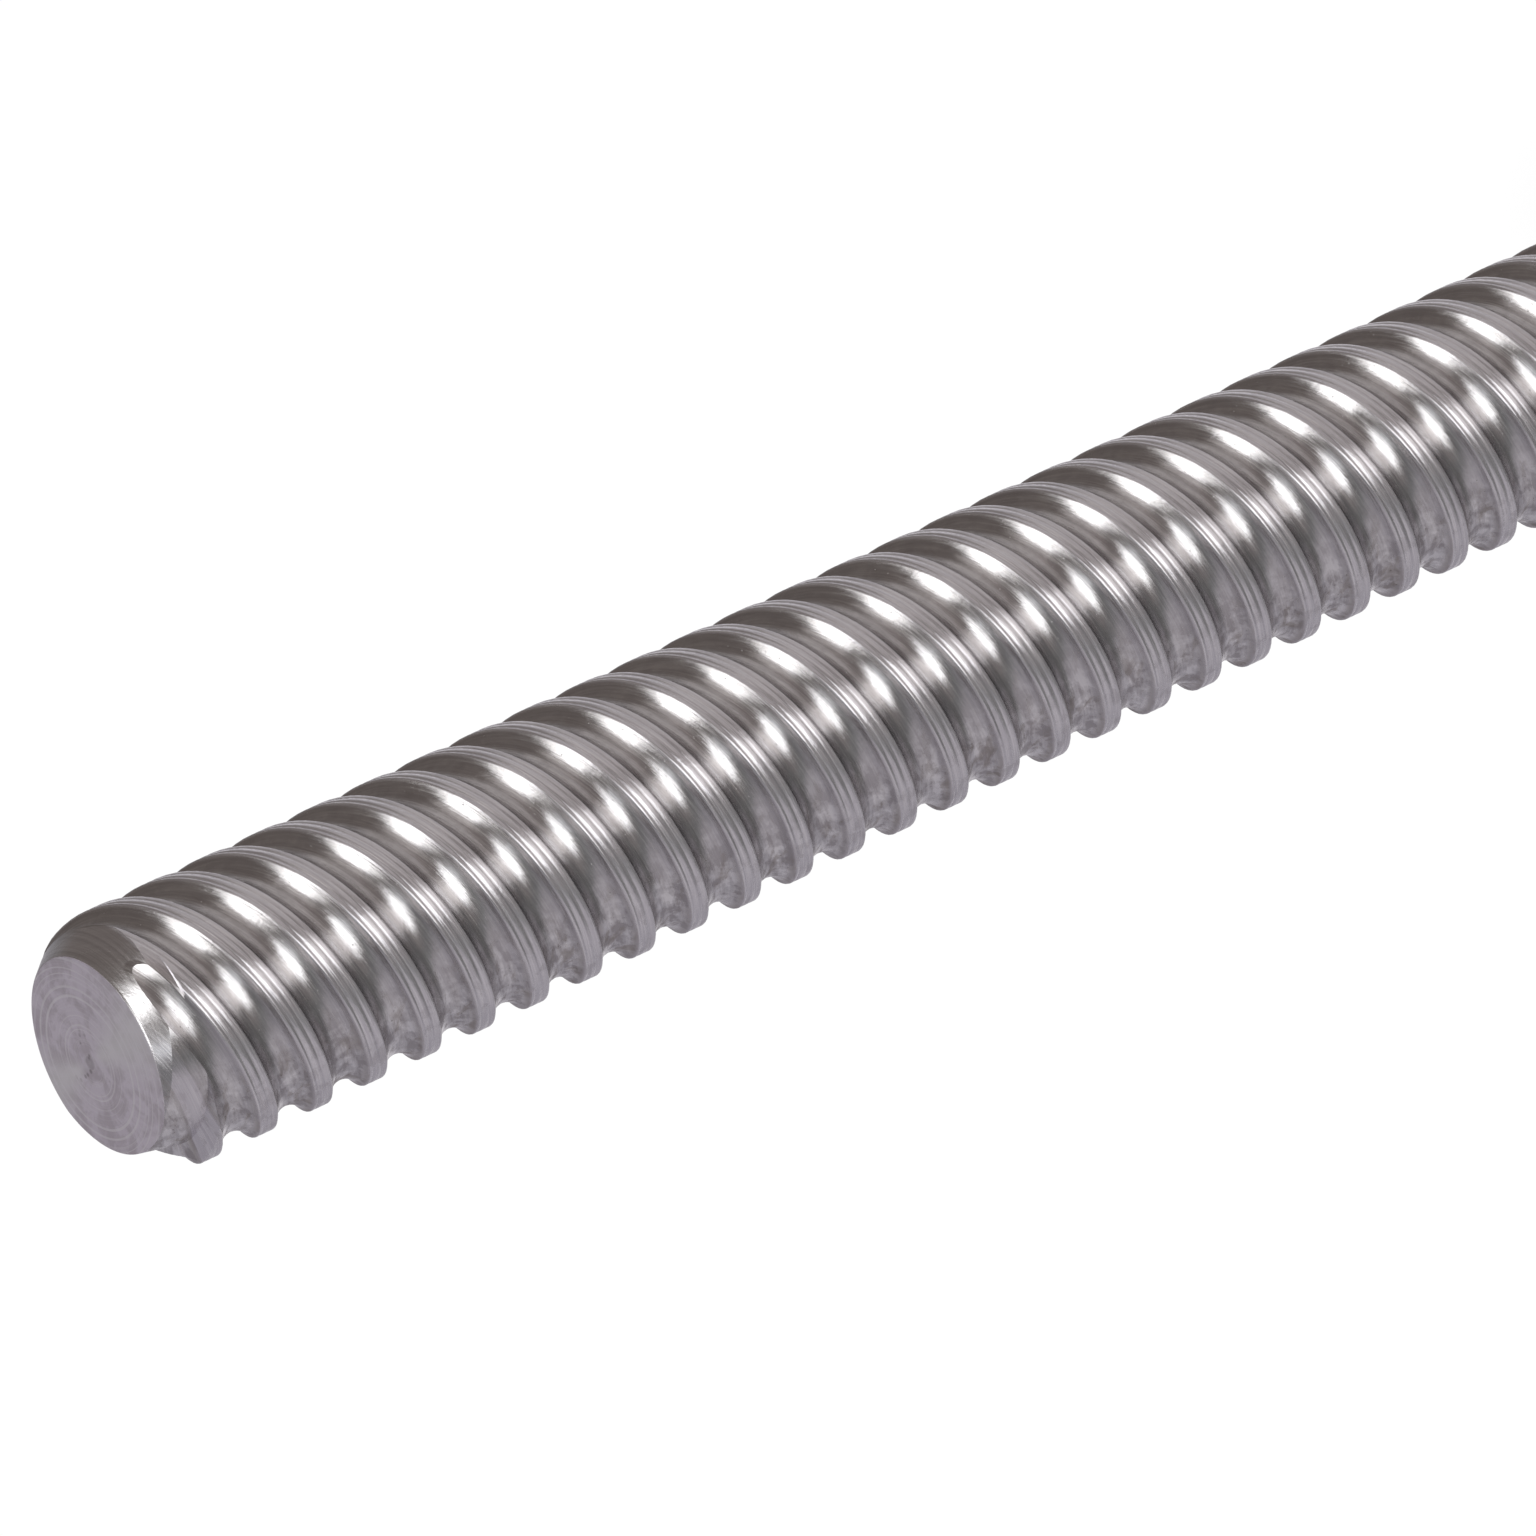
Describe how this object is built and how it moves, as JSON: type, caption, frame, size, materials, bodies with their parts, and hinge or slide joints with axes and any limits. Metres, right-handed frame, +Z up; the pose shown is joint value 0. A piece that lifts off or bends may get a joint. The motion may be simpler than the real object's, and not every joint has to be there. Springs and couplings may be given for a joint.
{
  "type": "ball screw assembly",
  "caption": "Rolled multi-start ball screw with a plain chamfered free end, a flanged ball nut and a fixed-side bearing support with lock nut.",
  "frame": {"origin": "on the support's mounting plane, under the screw axis, at the front face of the bearing housing", "axes": "+Z up from the mounting plane; the screw axis is parallel to X at z = 28 mm, with the free end at -X and the drive end at +X"},
  "size_m": [0.3063, 0.086, 0.052],
  "materials": {
    "screw_steel": "rolled and polished, bright",
    "nut_steel": "ground",
    "cap_polymer": "moulded, fine grain",
    "wiper_polymer": "moulded",
    "black_screws": "black oxide",
    "ball_steel": "polished",
    "housing_black": "black oxide, milled",
    "cover_black": "black oxide, milled",
    "seal_rubber": "smooth",
    "ring_steel": "ground",
    "cage_brass": "machined",
    "collar_steel": "turned",
    "locknut_steel": "black oxide, turned",
    "pad_brass": "plain"
  },
  "bodies": {
    "support": {"bearing_housing": "housing_black", "retainer_cover": "cover_black", "cover_screws": "black_screws", "front_oil_seal": "seal_rubber", "rear_oil_seal": "seal_rubber", "front_bearing_outer_ring": "ring_steel", "rear_bearing_outer_ring": "ring_steel"},
    "screw": {"screw_shaft": "screw_steel", "front_bearing_inner_ring": "ring_steel", "rear_bearing_inner_ring": "ring_steel", "front_collar": "collar_steel", "rear_collar": "collar_steel", "lock_nut": "locknut_steel", "lock_nut_screws": "black_screws", "lock_nut_pads": "pad_brass"},
    "cages": {"front_bearing_cage": "cage_brass", "rear_bearing_cage": "cage_brass", "front_bearing_balls": "ball_steel", "rear_bearing_balls": "ball_steel"},
    "nut": {"nut_body": "nut_steel", "front_end_cap": "cap_polymer", "rear_end_cap": "cap_polymer", "front_cap_screws": "black_screws", "rear_cap_screws": "black_screws", "front_wiper": "wiper_polymer", "rear_wiper": "wiper_polymer", "grease_plug": "black_screws", "track_balls_1": "ball_steel", "track_balls_2": "ball_steel", "track_balls_3": "ball_steel", "track_balls_4": "ball_steel", "return_balls": "ball_steel"}
  },
  "joints": [
    {"name": "screw_spin", "type": "hinge", "parent": "support", "child": "screw", "pos_m": [0, 0, 0.028], "axis": [1, 0, 0], "range_deg": [0, 2700]},
    {"name": "nut_travel", "type": "slide", "parent": "support", "child": "nut", "axis": [1, 0, 0], "range_m": [-0.1501, 0]},
    {"name": "cage_spin", "type": "hinge", "parent": "support", "child": "cages", "pos_m": [0.016, 0, 0.028], "axis": [1, 0, 0], "range_deg": [0, 1030]}
  ],
  "couplings": [
    {"joint": "nut_travel", "follows": "screw_spin", "m_per_rad": -0.0031831},
    {"joint": "cage_spin", "follows": "screw_spin", "ratio": 0.381}
  ]
}
